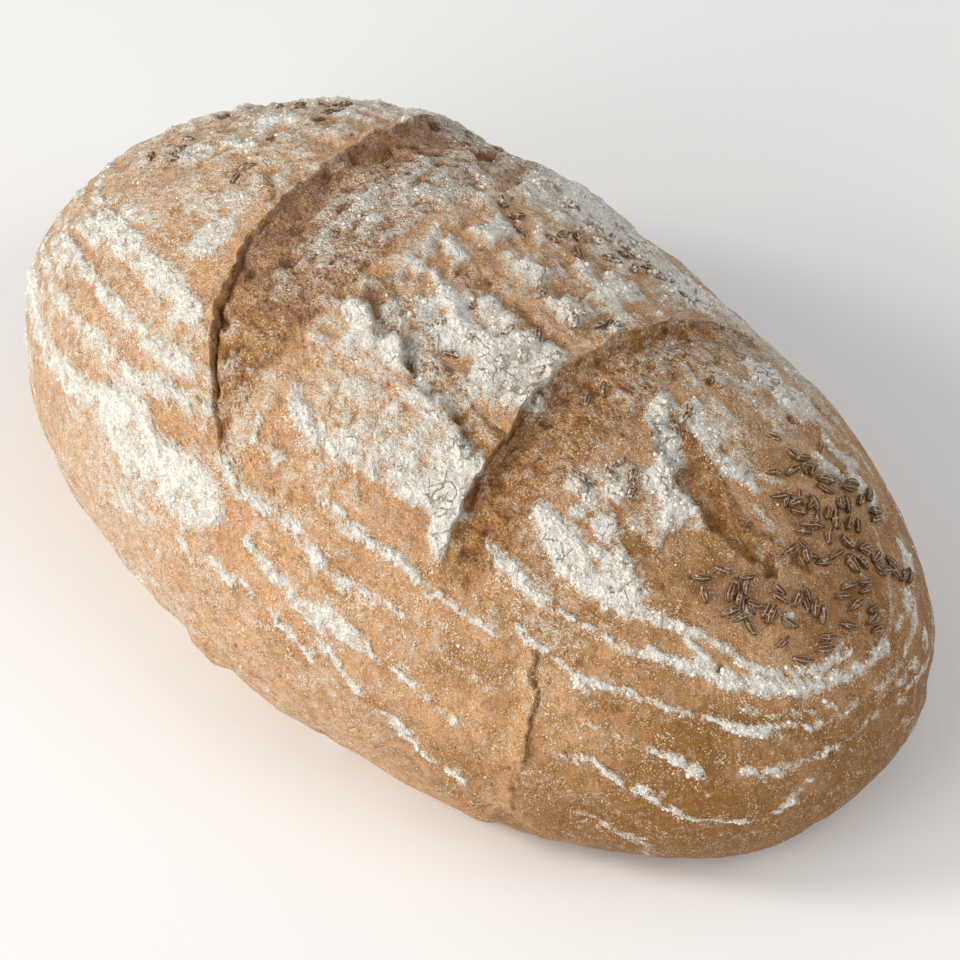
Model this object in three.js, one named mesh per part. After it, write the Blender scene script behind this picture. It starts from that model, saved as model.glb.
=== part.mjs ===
// A rye and wheat sourdough loaf, proved in an oval cane basket and baked on a flat stone.
// The loaf is one baked solid. Two cuts across its top have opened in the oven, and each has a
// raised lip on its -X side. Caraway seeds, baked on to the top of the +X end, are pieces of their own.
// Millimetres, +Z up. The origin is the middle of the footprint, on the surface the loaf rests on.
// +X runs along the loaf to its seeded end, and -Y is its front.

import * as THREE from 'three';
import { ParametricGeometry } from 'three/addons/geometries/ParametricGeometry.js';

// Driving dimensions of the loaf.
const LENGTH = 288;
const WIDTH = 166;
const HEIGHT = 106; // to the crown of the arch, below the lips
const GIRTH_HEIGHT = 34; // where the loaf is widest, above its base
const PLAN_POWER = 2.12; // 2 is an ellipse seen from above, more is fuller at the corners
const CROWN_POWER = 2.15; // the same for the arch of the top, along and across
const BELLY_POWER = 4; // the sides turn under more sharply than the top is arched
const BELLY_DEPTH = 1.3 * GIRTH_HEIGHT; // the rounding below the girth, before the stone flattens it
const CROWN_TILT = 0.1; // how much more the top is arched towards -X, and less towards +X

// How much fuller each side is than the plan's curve, as shares of the half width. The first is for a
// single swelling over the whole length, the next for two half waves along it, and the last for three.
const FRONT_WAVES = [0.007, -0.008, -0.01];
const BACK_WAVES = [0.007, 0.016, 0.014];

// Each cut's lip stands on the line x = lip(y). The crust rises to it, drops into the torn band on
// its +X side, and climbs out again over the band's width. The band runs from front to back, and its
// raised lip from front to lipBack.
const CUTS = [
  {
    lip: (y) => -57 + 42 * Math.exp(-(Math.max(y, -72) + 72) / 22),
    front: -76,
    back: 88,
    lipBack: 66,
    rise: 3,
    drop: 6.5,
    band: 36,
  },
  {
    lip: (y) => 37 + 0.003 * Math.min(y * y, 60 * 60),
    front: -60,
    back: 66,
    lipBack: 60,
    rise: 2.5,
    drop: 4.5,
    band: 20,
  },
];
const LIP_REACH = 14; // how far back from its edge a lip starts to rise
const LIP_STEP = 1.5; // how far the drop behind a lip takes
const CUT_FADE = 24; // how far a cut takes to fade out at each end
const SLANT_REACH = 45; // how far from a lip the stations still follow its curve

// A caraway seed, and the patches of them on the +X end.
const SEED = { length: 5, width: 1.4, bend: 0.35, clearance: 0.45, spacing: 2.3 };
const SEED_PATCHES = [
  { x: 93, y: 26, radius: 8, count: 7 },
  { x: 103, y: 36, radius: 6, count: 5 },
  { x: 104, y: 19, radius: 5, count: 4 },
  { x: 113, y: 23, radius: 7, count: 10 },
  { x: 119, y: 31, radius: 5, count: 4 },
  { x: 125, y: 11, radius: 7, count: 7 },
  { x: 121, y: -6, radius: 8, count: 9 },
  { x: 105, y: -18, radius: 7, count: 6 },
  { x: 110, y: 6, radius: 5, count: 2 },
];

// How finely the solids are faceted.
const AROUND = 52;
const END_STATIONS = 9;
const STATION_STEP = 5.6;

const clamp01 = (value) => Math.min(1, Math.max(0, value));
const smooth = (from, to, value) => THREE.MathUtils.smoothstep(value, from, to);
const arch = (ratio, power) => (1 - Math.min(1, Math.abs(ratio)) ** power) ** (1 / power);

// ---- The baked form, before the cuts ----

function halfWidth(x, side) {
  const waves = side < 0 ? FRONT_WAVES : BACK_WAVES;
  const halfTurn = Math.PI * (x / LENGTH + 0.5);
  const fullness = waves.reduce((sum, wave, index) => sum + wave * Math.sin((index + 1) * halfTurn), 1);
  return (WIDTH / 2) * arch((2 * x) / LENGTH, PLAN_POWER) * fullness;
}

function crownRise(x) {
  const level = Math.sqrt(1 - Math.min(1, Math.abs((2 * x) / LENGTH)) ** CROWN_POWER);
  return (HEIGHT - GIRTH_HEIGHT) * level * (1 - CROWN_TILT * Math.sin((2 * Math.PI * x) / LENGTH));
}

function bellyDrop(x) {
  return BELLY_DEPTH * Math.sqrt(1 - Math.min(1, Math.abs((2 * x) / LENGTH)) ** BELLY_POWER);
}

// Slow swells of the top, left by uneven gas in the dough.
function swell(x, y) {
  return 1.1 * Math.sin(x / 31 + 0.5) * Math.cos(y / 27 - 0.3) + 0.7 * Math.sin(x / 17 - y / 23);
}

function topHeight(x, y) {
  const across = Math.min(1, Math.abs(y) / Math.max(1e-6, halfWidth(x, Math.sign(y))));
  const rise = Math.sqrt(1 - across ** CROWN_POWER);
  return GIRTH_HEIGHT + (crownRise(x) + swell(x, y)) * rise;
}

// ---- The cuts ----

const lipStation = (cut) => cut.lip(0);

function cutRelief(station, y) {
  let relief = 0;
  for (const cut of CUTS) {
    const along = station - lipStation(cut);
    const opened = smooth(cut.front, cut.front + CUT_FADE, y);
    const trough = opened * cut.drop * (1 - smooth(cut.back - CUT_FADE, cut.back, y));
    const lip = opened * cut.rise * (1 - smooth(cut.lipBack - CUT_FADE, cut.lipBack, y));
    if (along <= 0) {
      relief += lip * Math.exp(along / LIP_REACH);
    } else {
      relief += lip * clamp01(1 - along / LIP_STEP);
      relief -= trough * clamp01(along / LIP_STEP) * clamp01(1 - along / cut.band) ** 1.3;
    }
  }
  return relief;
}

// Stations follow the lips near them, so that each lip lies along one station.
function followLips(station, y) {
  let x = station;
  for (const cut of CUTS) {
    const along = (station - lipStation(cut)) / SLANT_REACH;
    x += Math.exp(-along * along) * (cut.lip(y) - lipStation(cut));
  }
  return THREE.MathUtils.clamp(x, -LENGTH / 2, LENGTH / 2);
}

// ---- Stations along the loaf ----

function stationList() {
  const list = [];
  const ends = LENGTH / 2 - 24;
  for (let i = 0; i <= END_STATIONS; i++) {
    const inward = 24 * (1 - Math.cos((i / END_STATIONS) * (Math.PI / 2)));
    list.push(-LENGTH / 2 + inward, LENGTH / 2 - inward);
  }
  for (let x = -ends + STATION_STEP; x < ends; x += STATION_STEP) {
    const nearLip = CUTS.some((cut) => Math.abs(x - lipStation(cut) - LIP_STEP / 2) < 0.6 * STATION_STEP);
    if (!nearLip) list.push(x);
  }
  for (const cut of CUTS) {
    list.push(lipStation(cut), lipStation(cut) + LIP_STEP);
  }
  return list.sort((a, b) => a - b);
}

const STATIONS = stationList();

function stationAt(v) {
  const place = clamp01(v) * (STATIONS.length - 1);
  const index = Math.min(STATIONS.length - 2, Math.floor(place));
  return THREE.MathUtils.lerp(STATIONS[index], STATIONS[index + 1], place - index);
}

// ---- The loaf ----

// u goes once round the section and v along the stations.
function crustPoint(u, v, target) {
  const station = stationAt(v);
  const turn = 2 * Math.PI * (u % 1);
  const outward = Math.cos(turn);
  const upward = Math.sin(turn);
  const side = Math.sign(outward);
  const power = upward >= 0 ? CROWN_POWER : BELLY_POWER;
  const across = side * Math.abs(outward) ** (2 / power);
  const x = followLips(station, halfWidth(station, side) * across);
  const y = halfWidth(x, side) * across;
  if (upward < 0) {
    target.set(x, y, Math.max(0, GIRTH_HEIGHT + bellyDrop(x) * upward));
    return;
  }
  const relief = cutRelief(station, y) * upward * smooth(0, 30, LENGTH / 2 - Math.abs(x));
  target.set(x, y, topHeight(x, y) + relief);
}

function makeLoaf(material) {
  const geometry = new ParametricGeometry(crustPoint, AROUND, STATIONS.length - 1);
  const loaf = new THREE.Mesh(geometry, material);
  loaf.name = 'loaf';
  return loaf;
}

// ---- The caraway seeds ----

// A small repeatable random sequence, so that the seeds always fall in the same places.
function randomSequence(start) {
  let state = start;
  return () => {
    state = (state * 16807) % 2147483647;
    return state / 2147483647;
  };
}

function topNormal(x, y) {
  const step = 2;
  const slopeX = (topHeight(x + step, y) - topHeight(x - step, y)) / (2 * step);
  const slopeY = (topHeight(x, y + step) - topHeight(x, y - step)) / (2 * step);
  return new THREE.Vector3(-slopeX, -slopeY, 1).normalize();
}

// A spindle along Y, pointed at both ends and bent a little like a new moon.
function makeSeedGeometry() {
  const profile = [];
  const rings = 4;
  for (let i = 0; i <= rings; i++) {
    const along = i / rings;
    const radius = (SEED.width / 2) * Math.sin(Math.PI * along) ** 0.7;
    profile.push(new THREE.Vector2(i === 0 || i === rings ? 0 : radius, (along - 0.5) * SEED.length));
  }
  const geometry = new THREE.LatheGeometry(profile, 6);
  const points = geometry.attributes.position;
  for (let i = 0; i < points.count; i++) {
    const along = (2 * points.getY(i)) / SEED.length;
    points.setX(i, points.getX(i) + SEED.bend * (0.5 - along * along));
  }
  geometry.computeVertexNormals();
  return geometry;
}

// Five points along a seed's middle line stand for it when the next one looks for room.
function middleLine(centre, direction) {
  const ticks = [-0.4, -0.2, 0, 0.2, 0.4];
  return ticks.map((tick) => centre.clone().addScaledVector(direction, tick * SEED.length));
}

function placeSeeds(material) {
  const geometry = makeSeedGeometry();
  const random = randomSequence(20417);
  const seeds = [];
  const taken = [];
  for (const patch of SEED_PATCHES) {
    for (let left = patch.count, tries = 0; left > 0 && tries < 400; tries++) {
      const reach = patch.radius * Math.sqrt(random());
      const bearing = 2 * Math.PI * random();
      const x = patch.x + reach * Math.cos(bearing);
      const y = patch.y + reach * Math.sin(bearing);
      const up = topNormal(x, y);
      const heading = new THREE.Vector3(Math.cos(7 * bearing), Math.sin(7 * bearing), 0);
      const along = heading.addScaledVector(up, -heading.dot(up)).normalize();
      const centre = new THREE.Vector3(x, y, topHeight(x, y));
      centre.addScaledVector(up, SEED.width / 2 + SEED.clearance);
      const line = middleLine(centre, along);
      const crowded = taken.some((spot) => line.some((point) => point.distanceTo(spot) < SEED.spacing));
      if (crowded) continue;
      taken.push(...line);
      left--;
      const seed = new THREE.Mesh(geometry, material);
      const sideways = new THREE.Vector3().crossVectors(along, up);
      seed.quaternion.setFromRotationMatrix(new THREE.Matrix4().makeBasis(sideways, along, up));
      seed.position.copy(centre);
      seed.name = `caraway_seed_${String(seeds.length + 1).padStart(2, '0')}`;
      seeds.push(seed);
    }
  }
  return seeds;
}

// ---- The assembly ----

const crust = new THREE.MeshStandardMaterial({ color: '#a9773f', roughness: 0.85, metalness: 0 });
const caraway = new THREE.MeshStandardMaterial({ color: '#4a3222', roughness: 0.6, metalness: 0 });

const loaf = makeLoaf(crust);
const assembly = new THREE.Group();
assembly.add(loaf, ...placeSeeds(caraway));

// The bulges leave the footprint a little off centre, so the whole is moved to put its middle on Z.
loaf.geometry.computeBoundingBox();
const middle = loaf.geometry.boundingBox.getCenter(new THREE.Vector3());
assembly.position.set(-middle.x, -middle.y, 0);

export default assembly;
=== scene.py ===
# %% [markdown]
# # A sourdough loaf with caraway
# A rye and wheat loaf, proved in an oval cane basket, cut across the top and baked on a flat stone.
# This notebook builds its outside: the crust with its opened cuts, the flour that the basket left, and
# the caraway seeds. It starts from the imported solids, which say how large the loaf is and where each
# seed lies, so the first cell loads them. Lengths are in millimetres until a mesh is made.

# %% Load the solids
import math

import bmesh
import bpy
import numpy as np
from mathutils import Matrix, Vector


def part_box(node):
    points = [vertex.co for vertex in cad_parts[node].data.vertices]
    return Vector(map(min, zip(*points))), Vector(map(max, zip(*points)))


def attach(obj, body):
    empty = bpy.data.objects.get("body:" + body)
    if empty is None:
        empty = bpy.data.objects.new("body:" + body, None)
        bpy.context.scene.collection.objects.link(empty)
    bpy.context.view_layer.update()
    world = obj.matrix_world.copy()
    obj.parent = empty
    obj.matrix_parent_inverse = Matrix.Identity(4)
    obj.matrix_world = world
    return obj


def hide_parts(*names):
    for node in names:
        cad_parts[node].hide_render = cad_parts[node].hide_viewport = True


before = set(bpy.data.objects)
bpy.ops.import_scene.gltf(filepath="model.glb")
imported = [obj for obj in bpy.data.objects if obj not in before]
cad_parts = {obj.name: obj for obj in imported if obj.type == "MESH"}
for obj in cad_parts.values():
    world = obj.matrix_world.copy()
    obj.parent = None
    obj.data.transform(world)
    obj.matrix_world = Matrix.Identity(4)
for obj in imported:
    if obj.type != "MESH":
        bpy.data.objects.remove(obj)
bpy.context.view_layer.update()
MM = 0.001


low, high = [np.array(corner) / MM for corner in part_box("loaf")]
LENGTH, WIDTH = [float(side) for side in (high - low)[:2]]
print("loaf, mm:", [round(float(side), 1) for side in high - low])

# %% [markdown]
# ## The camera
# A long lens from a little over a metre away keeps the loaf's ends nearly the same size. The camera looks
# down on the loaf from its front and its seeded end, so that both cuts and the seeds show.

# %% Camera
VIEW_TURN = math.radians(44.0)
VIEW_HEIGHT = math.radians(46.0)
VIEW_DISTANCE = 5.0 * LENGTH
LENS = 204.4
SENSOR = 36.0
FAR_LIMIT = 20  # metres
AIM_HEIGHT = 0.15 * LENGTH
AIM_RIGHT = 3.6
AIM_UP = -7.3


def view_axes(turn, height):
    back = Vector((math.sin(turn) * math.cos(height), -math.cos(turn) * math.cos(height), math.sin(height)))
    right = Vector((math.cos(turn), math.sin(turn), 0))
    return right, back.cross(right), back


def make_camera():
    right, up, back = view_axes(VIEW_TURN, VIEW_HEIGHT)
    aim = Vector((0, 0, AIM_HEIGHT)) + AIM_RIGHT * right + AIM_UP * up
    data = bpy.data.cameras.new("camera")
    data.lens = LENS
    data.sensor_width = SENSOR
    data.clip_end = FAR_LIMIT
    camera = bpy.data.objects.new("camera", data)
    turned = Matrix((right, up, back)).transposed().to_4x4()
    camera.matrix_world = Matrix.Translation((aim + VIEW_DISTANCE * back) * MM) @ turned
    bpy.context.scene.collection.objects.link(camera)
    bpy.context.scene.camera = camera


make_camera()
print("camera:", VIEW_DISTANCE, "mm away, with a lens of", LENS, "mm")

# %% [markdown]
# ## Floor and light
# The floor is plain and pale. A soft square lamp on the left throws soft shadows off the lips of the
# cuts, two wide lamps fill the front and the seeded end, and a pale sky fills the rest. Lamps with a size
# suit flour better than a bare sun, whose hard shadows would make every crumb look coarse.

# %% Colours and nodes
def linear(hex_colour):
    """An sRGB colour such as "#c98f52", as the linear numbers that a shader takes."""
    parts = [int(hex_colour[i:i + 2], 16) / 255 for i in (1, 3, 5)]
    return tuple(p / 12.92 if p <= 0.04045 else ((p + 0.055) / 1.055) ** 2.4 for p in parts) + (1.0,)


def add_node(tree, kind, settings=None, links=None):
    """Adds a node. Settings name its properties or the values of its inputs, and links feed its inputs."""
    node = tree.nodes.new(kind)
    for name, value in (settings or {}).items():
        if isinstance(name, str) and hasattr(node, name):
            setattr(node, name, value)
        else:
            node.inputs[name].default_value = value
    for name, source in (links or {}).items():
        tree.links.new(source, node.inputs[name])
    return node


def new_material(name):
    material = bpy.data.materials.new(name)
    material.use_nodes = True
    material.node_tree.nodes.clear()
    return material, material.node_tree


# %% Floor, sky and lamps
FLOOR_REACH = 6.0  # metres
SKY_STRENGTH = 0.45
# Each lamp: name, direction round from +X and height above the floor in degrees, distance and size in
# metres, power in watts, and colour.
LAMPS = [
    ("soft_key", 232, 36, 1.8, 0.5, 15, "#fffaf4"),
    ("front_fill", 266, 22, 2.0, 1.2, 19, "#fffdfa"),
    ("end_fill", 18, 45, 2.0, 1.2, 9.5, "#fffdfa"),
]


def make_floor():
    material, tree = new_material("painted_floor")
    shader = add_node(tree, "ShaderNodeBsdfPrincipled", {"Base Color": linear("#f4f4f3"), "Roughness": 0.9})
    add_node(tree, "ShaderNodeOutputMaterial", links={"Surface": shader.outputs["BSDF"]})
    corners = [(x * FLOOR_REACH, y * FLOOR_REACH, 0) for x, y in ((-1, -1), (1, -1), (1, 1), (-1, 1))]
    mesh = bpy.data.meshes.new("floor")
    mesh.from_pydata(corners, [], [(0, 1, 2, 3)])
    mesh.materials.append(material)
    floor = bpy.data.objects.new("floor", mesh)
    bpy.context.scene.collection.objects.link(floor)


def make_lamp(name, turn, height, distance, size, power, colour):
    """A square lamp aimed at the middle of the loaf's base."""
    turn, height = math.radians(turn), math.radians(height)
    flat = distance * math.cos(height)
    place = Vector((flat * math.cos(turn), flat * math.sin(turn), distance * math.sin(height)))
    data = bpy.data.lights.new(name, "AREA")
    data.shape = "SQUARE"
    data.size = size
    data.energy = power
    data.color = linear(colour)[:3]
    lamp = bpy.data.objects.new(name, data)
    lamp.matrix_world = Matrix.Translation(place) @ place.to_track_quat("Z", "Y").to_matrix().to_4x4()
    bpy.context.scene.collection.objects.link(lamp)


def make_sky(strength):
    world = bpy.data.worlds.new("studio")
    world.use_nodes = True
    world.node_tree.nodes.clear()
    sky = add_node(world.node_tree, "ShaderNodeBackground",
                   {"Color": linear("#fbfcff"), "Strength": strength})
    add_node(world.node_tree, "ShaderNodeOutputWorld", links={"Surface": sky.outputs["Background"]})
    bpy.context.scene.world = world


make_floor()
for lamp in LAMPS:
    make_lamp(*lamp)
make_sky(SKY_STRENGTH)
bpy.context.scene.view_settings.view_transform = "Standard"
print("lamps:", ", ".join(lamp[0] for lamp in LAMPS))

# %% [markdown]
# ## Noise
# Nothing on a loaf is even. Smooth random values on a lattice, added up at several sizes, roughen the
# shape and break up the flour. The seed of each call is fixed, so the loaf comes out the same each time.

# %% Noise
LATTICE = 48


def noise(points, cell, seed):
    """Smooth random values from -1 to 1 that change over about `cell` millimetres."""
    table = np.random.default_rng(seed).uniform(-1, 1, (LATTICE, LATTICE, LATTICE))
    scaled = points / cell
    corner = np.floor(scaled).astype(int)
    part = scaled - corner
    part = part * part * (3 - 2 * part)
    total = np.zeros(points.shape[:-1])
    for step in np.ndindex(2, 2, 2):
        weight = np.prod(np.where(step, part, 1 - part), axis=-1)
        spot = (corner + step) % LATTICE
        total += weight * table[spot[..., 0], spot[..., 1], spot[..., 2]]
    return total


def rough(points, cell, seed, octaves=3):
    """Noise at several sizes, each half as large and half as strong as the one before."""
    return sum(noise(points, cell / 2**k, seed + k) / 2**k for k in range(octaves))


def ramp(start, end, value):
    """Rises smoothly from 0 at start to 1 at end, or falls where start is the larger."""
    t = np.clip((value - start) / (end - start), 0, 1)
    return t * t * (3 - 2 * t)


# %% [markdown]
# ## The baked form
# Seen from above the loaf is a full oval, and its top is a rounded arch. Below its widest line it turns
# under to a flat base. These are the same curves as in the solid, sized from its box.

# %% Form
GIRTH = 34.0  # height of the widest line
HALF_WIDTH = 83.0
CROWN = 106.0  # the arch's crown at the middle, below the lips
PLAN_POWER = 2.12
CROWN_POWER = 2.15
CROWN_TILT = 0.1
BELLY_POWER = 4
BELLY_DEPTH = 1.3 * GIRTH
FRONT_WAVES = [0.007, -0.008, -0.01]
BACK_WAVES = [0.007, 0.016, 0.014]


def arch(ratio, power, root):
    return (1 - np.clip(np.abs(ratio), 0, 1) ** power) ** root


def fullness(x, waves):
    return 1 + sum(wave * np.sin((k + 1) * np.pi * (x / LENGTH + 0.5)) for k, wave in enumerate(waves))


def half_width(x, side):
    bulge = np.where(side < 0, fullness(x, FRONT_WAVES), fullness(x, BACK_WAVES))
    return HALF_WIDTH * arch(2 * x / LENGTH, PLAN_POWER, 1 / PLAN_POWER) * bulge


def top_height(x, y):
    across = np.clip(np.abs(y) / np.maximum(1e-6, half_width(x, np.sign(y))), 0, 1)
    swell = 1.1 * np.sin(x / 31 + 0.5) * np.cos(y / 27 - 0.3) + 0.7 * np.sin(x / 17 - y / 23)
    tilt = 1 - CROWN_TILT * np.sin(2 * np.pi * x / LENGTH)
    rise = (CROWN - GIRTH) * arch(2 * x / LENGTH, CROWN_POWER, 0.5) * tilt + swell
    return GIRTH + rise * arch(across, CROWN_POWER, 0.5)


# %% [markdown]
# ## Where the cuts and tears run
# Two cuts cross the loaf. Each opened in the oven: the dough behind it was pushed up into a raised lip,
# and pale dough tore open on the other side. A few shallower tears run along the loaf. Each is a short
# list of points that its line passes through, in millimetres from the loaf's middle.

# %% Cuts and tears
def rear_lip(y):
    return -57 + 42 * np.exp(-(np.maximum(y, -72) + 72) / 22)


def middle_lip(y):
    return 37 + 0.003 * np.minimum(y * y, 3600)


# Each cut: its lip, where it starts and ends, where the raised part of the lip ends, how high that stands,
# the drop beyond it (front, back), how wide the wall of the drop is (front, back), where front turns to
# back, where the opened dough ends, and how deep the crack is.
CUTS = [
    dict(lip=rear_lip, front=-76, back=90, lip_back=66, rise=1.8, drop=(1.0, 3.2), wall=(1.2, 6.0),
         turn=(-52, -6), far_edge=-20, crack=2.2),
    dict(lip=middle_lip, front=-62, back=66, lip_back=60, rise=2.0, drop=(3.7, 1.3), wall=(1.8, 4.2),
         turn=(-24, 10), far_edge=57, crack=2.4),
]
SLANT_REACH = 45.0  # how far from a cut the stations still lean with it

# Each tear: its line, how high its raised side stands (on the right, going along it), how deep and how
# wide it is on its other side, and how raw the crust in it is.
TEARS = [
    dict(line=[(-19, -19), (-11, -23), (-5, -29)], lift=1.5, depth=2.0, width=7, raw=0.9),
    dict(line=[(-9, -23), (2, -26), (11, -32), (19, -33)], lift=1.6, depth=3.0, width=10, raw=1.0),
    dict(line=[(13, -28), (24, -31.5), (33, -35), (41, -34)], lift=1.5, depth=3.0, width=9, raw=1.0),
    dict(line=[(38, 2.5), (27, 3.5), (12, 4), (-10, 4)], lift=0.6, depth=1.1, width=6, raw=0.6),
    dict(line=[(60, 3), (78, -3), (92, -6), (108, -3.5)], lift=0.9, depth=2.3, width=11, raw=1.0),
    dict(line=[(-69, -5), (-63, -10), (-55, -15)], lift=1.7, depth=0.7, width=4, raw=0.25),
    dict(line=[(113, 9.5), (109, 8.3), (105, 9)], lift=0.3, depth=1.4, width=2, raw=1.0),
    dict(line=[(46, -56), (51, -57.5), (55, -59)], lift=0.6, depth=1.8, width=3, raw=1.0),
]

# %% [markdown]
# ## The grid of points
# A loaf could be sculpted by hand, but a grid of points lets every ring and cut be placed by its size.
# The crust is one sheet of points, laid out in stations along the loaf and turns around it. Stations sit
# closer where a lip needs a sharp edge, and they follow the lips' curves. The underside has few turns.

# %% Grid
END_CAP = 30.0
END_STATIONS = 34
MIDDLE_STATIONS = 241
TOP_TURNS = 236
UNDER_TURNS = 44
CRACK_FROM, CRACK_TO = 77.0, 88.0  # the side crack lies between these stations
LEAN_ROUNDS = 6  # a lip's curve and the width at a station depend on each other


def station_places():
    ends = LENGTH / 2 - END_CAP
    near_end = END_CAP * (1 - np.cos(np.linspace(0, np.pi / 2, END_STATIONS)))
    middle = np.linspace(-ends, ends, MIDDLE_STATIONS)
    places = np.concatenate([-LENGTH / 2 + near_end[:-1], middle, LENGTH / 2 - near_end[:-1]])
    outside = places[(places < CRACK_FROM) | (places > CRACK_TO)]
    places = np.concatenate([outside, np.arange(CRACK_FROM, CRACK_TO + 0.1, 0.5)])
    for cut in CUTS:
        lip = float(cut["lip"](np.array(0.0)))
        places = places[(places < lip - 4) | (places > lip + 6)]
        fine = lip + np.concatenate([np.arange(-4, -1, 0.75), np.arange(-1, 3, 0.36), np.arange(3, 6, 0.6)])
        places = np.concatenate([places, fine])
    return np.sort(places)


def turn_places():
    top = np.linspace(-0.12 * np.pi, 1.12 * np.pi, TOP_TURNS)
    under = np.linspace(1.12 * np.pi, 1.88 * np.pi, UNDER_TURNS)[1:-1]
    return np.concatenate([top, under])


def lay_out(stations, turns):
    """Points of the smooth form, and how far up its arch each one is, from -1 under it to 1 on top."""
    station, turn = np.meshgrid(stations, turns, indexing="ij")
    outward, upward = np.cos(turn), np.sin(turn)
    side = np.sign(outward)
    power = np.where(upward >= 0, CROWN_POWER, BELLY_POWER)
    across = side * np.abs(outward) ** (2 / power)
    x = station.copy()
    for _ in range(LEAN_ROUNDS):
        y = half_width(x, side) * across
        x = station.copy()
        for cut in CUTS:
            lip = cut["lip"](np.array(0.0))
            x += np.exp(-(((station - lip) / SLANT_REACH) ** 2)) * (cut["lip"](y) - lip)
        x = np.clip(x, -LENGTH / 2, LENGTH / 2)
    y = half_width(x, side) * across
    belly = BELLY_DEPTH * arch(2 * x / LENGTH, BELLY_POWER, 0.5)
    z = np.where(upward >= 0, top_height(x, y), np.maximum(0, GIRTH + belly * upward))
    return np.stack([x, y, z], axis=-1), upward


def outward_normals(grid):
    """The direction out of the form at each point, and the direction along the loaf there."""
    along = np.gradient(grid, axis=0)
    wrapped = np.concatenate([grid[:, -1:], grid, grid[:, :1]], axis=1)
    around = (wrapped[:, 2:] - wrapped[:, :-2]) / 2
    normal = np.cross(around, along)
    normal /= np.maximum(1e-9, np.linalg.norm(normal, axis=-1, keepdims=True))
    along /= np.maximum(1e-9, np.linalg.norm(along, axis=-1, keepdims=True))
    return normal, along


stations = station_places()
turns = turn_places()
form, upward = lay_out(stations, turns)
normal, along = outward_normals(form)
X, Y, Z = form[..., 0], form[..., 1], form[..., 2]
on_top = ramp(-0.05, 0.35, upward)
print("grid:", form.shape[:2], "points")

# %% [markdown]
# ## Opening the cuts
# Across a cut, the crust climbs to the lip, drops down a torn wall, and comes back up over the band of
# opened dough. Where the lip curls over, the wall is tucked back under it. The raw crust is remembered
# for the colour.

# %% Relief of the cuts
relief = np.zeros(X.shape)
shift = np.zeros(X.shape)
torn = np.zeros(X.shape)
painted_hollow_shade = np.zeros(X.shape)
ragged = rough(form, 9, 11) * 1.1 + rough(form, 2.6, 17, 2) * 0.7 + 0.35 * noise(form, 1.3, 19)

for cut in CUTS:
    beyond = X - cut["lip"](Y)
    lasts = ramp(cut["front"], cut["front"] + 26, Y) * ramp(cut["back"], cut["back"] - 22, Y) * on_top
    lip_lasts = lasts * ramp(cut["lip_back"], cut["lip_back"] - 24, Y)
    rear = ramp(*cut["turn"], Y)
    rise = cut["rise"] * lip_lasts * (1 + 0.35 * noise(form, 14, 21) + 0.3 * noise(form, 4, 20))
    drop = cut["drop"][0] + (cut["drop"][1] - cut["drop"][0]) * rear
    drop = drop * lasts * (1 + 0.2 * noise(form, 18, 22))
    wall = cut["wall"][0] + (cut["wall"][1] - cut["wall"][0]) * rear
    wall = wall * (1 + 0.25 * noise(form, 10, 24))
    band = np.maximum(6, cut["far_edge"] - cut["lip"](Y) + 2.0 * noise(form, 12, 23))
    climb = rise * (0.55 * np.exp(np.minimum(0, beyond) / 12) + 0.45 * np.exp(np.minimum(0, beyond) / 2.5))
    down = 0.35 * ramp(0, 0.7, beyond) + 0.65 * ramp(0, wall, beyond)
    back_up = np.clip(1 - (beyond - wall) / np.maximum(1, band - wall), 0, 1) ** 1.2
    relief += np.where(beyond <= 0, climb, rise * (1 - down) - drop * back_up * down)
    crack = np.exp(-(((beyond - 0.7 - 0.5 * rough(form, 3.5, 26, 2)) / 0.5) ** 2)) * lasts * (1 - 0.9 * rear)
    relief -= cut["crack"] * crack * (beyond > -0.2)
    shift -= 1.3 * lasts * (1 - 0.8 * rear) * np.clip(1 - np.abs(beyond - 0.8) / 1.3, 0, 1)
    shift += ragged * lip_lasts * np.exp(-((beyond / 3.0) ** 2))
    raw = ramp(-0.1, 0.5, beyond) * ramp(band + 2.5, band - 3.5, beyond + 1.8 * ragged)
    raw = raw * ramp(0.02, 0.35, lasts)
    torn = np.maximum(torn, raw)
    # Painted shade: the crack and the wall below the lip are marked to be darkened in the colour.
    shade = np.exp(-(((beyond - 0.4 * wall) / (0.4 * wall + 0.3)) ** 2)) * 0.12 * rear
    dark = np.maximum(0.8 * crack * np.clip(0.75 + 0.6 * noise(form, 3, 25), 0, 1), shade * lasts)
    painted_hollow_shade = np.maximum(painted_hollow_shade, dark * (beyond > 0.1))
    crease = np.exp(-(((beyond - band + 1) / 1.2) ** 2)) * lasts
    relief += 0.4 * np.exp(-(((beyond - band - 2.5) / 2.5) ** 2)) * lasts - 0.5 * crease

print(len(CUTS), "cuts and", len(TEARS), "tears")
print("raw crust:", round(100 * float(torn.mean()), 1), "% of the points")

# %% [markdown]
# Dough that tears stretches first, so the raw crust has fine ridges along the cut, and open bubbles.

# %% Tears, stretch marks and bubbles
def along_line(points, line):
    """Each point's distance from a bent line, positive on its left, how far along it is, and its length."""
    flat = points[..., :2]
    best = np.full(flat.shape[:-1], 1e9)
    signed = best.copy()
    travelled = best.copy()
    length = 0.0
    for start, end in zip(np.array(line[:-1], float), np.array(line[1:], float)):
        piece = end - start
        size = np.linalg.norm(piece)
        part = np.clip((flat - start) @ piece / size**2, 0, 1)
        gap = flat - start - part[..., None] * piece
        away = np.linalg.norm(gap, axis=-1)
        left = piece[0] * gap[..., 1] - piece[1] * gap[..., 0]
        closer = away < best
        signed = np.where(closer, np.where(left >= 0, away, -away), signed)
        travelled = np.where(closer, length + part * size, travelled)
        best = np.minimum(best, away)
        length += size
    return signed, travelled, length


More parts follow.
